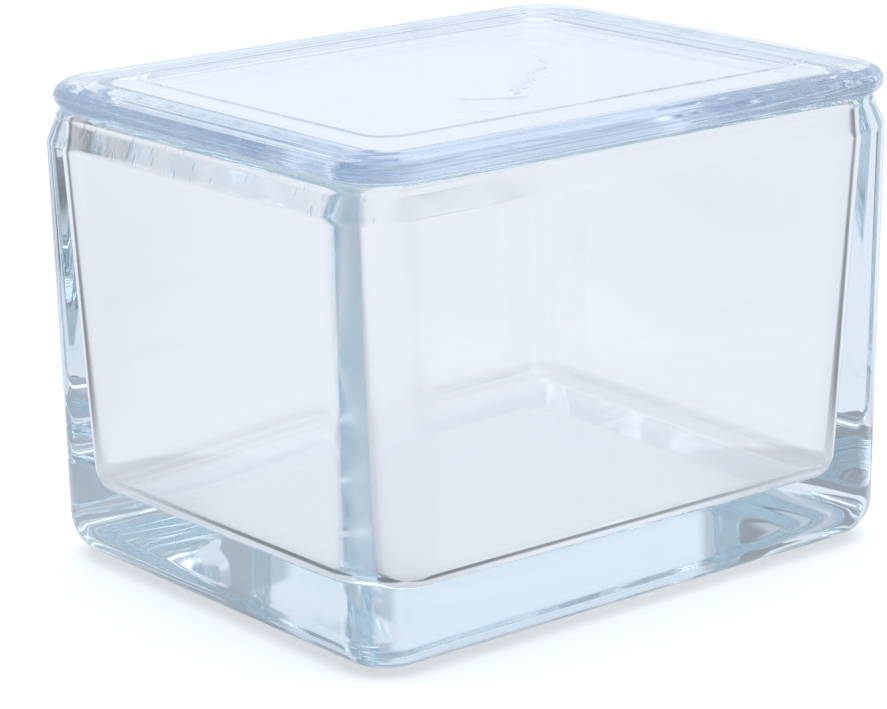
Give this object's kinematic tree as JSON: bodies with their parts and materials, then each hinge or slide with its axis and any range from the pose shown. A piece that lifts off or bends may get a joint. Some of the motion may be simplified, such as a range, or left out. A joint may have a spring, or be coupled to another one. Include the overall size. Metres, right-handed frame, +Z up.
{
  "type": "slide staining jar",
  "caption": "Rectangular pressed-glass staining jar for microscope slides, with thick walls, a solid base, a narrower neck and a loose glass lid with a rounded edge.",
  "frame": {"origin": "centre of the foot, on the surface that the jar stands on", "axes": "+Z up, +X along the long side, +Y along the short side"},
  "size_m": [0.105, 0.085, 0.075],
  "materials": {
    "jar_glass": "fire-polished, clear with a pale blue-green tint",
    "lid_glass": "fire-polished, clear with a pale blue tint"
  },
  "bodies": {
    "root": {"jar": "jar_glass", "lid": "lid_glass"}
  },
  "joints": []
}
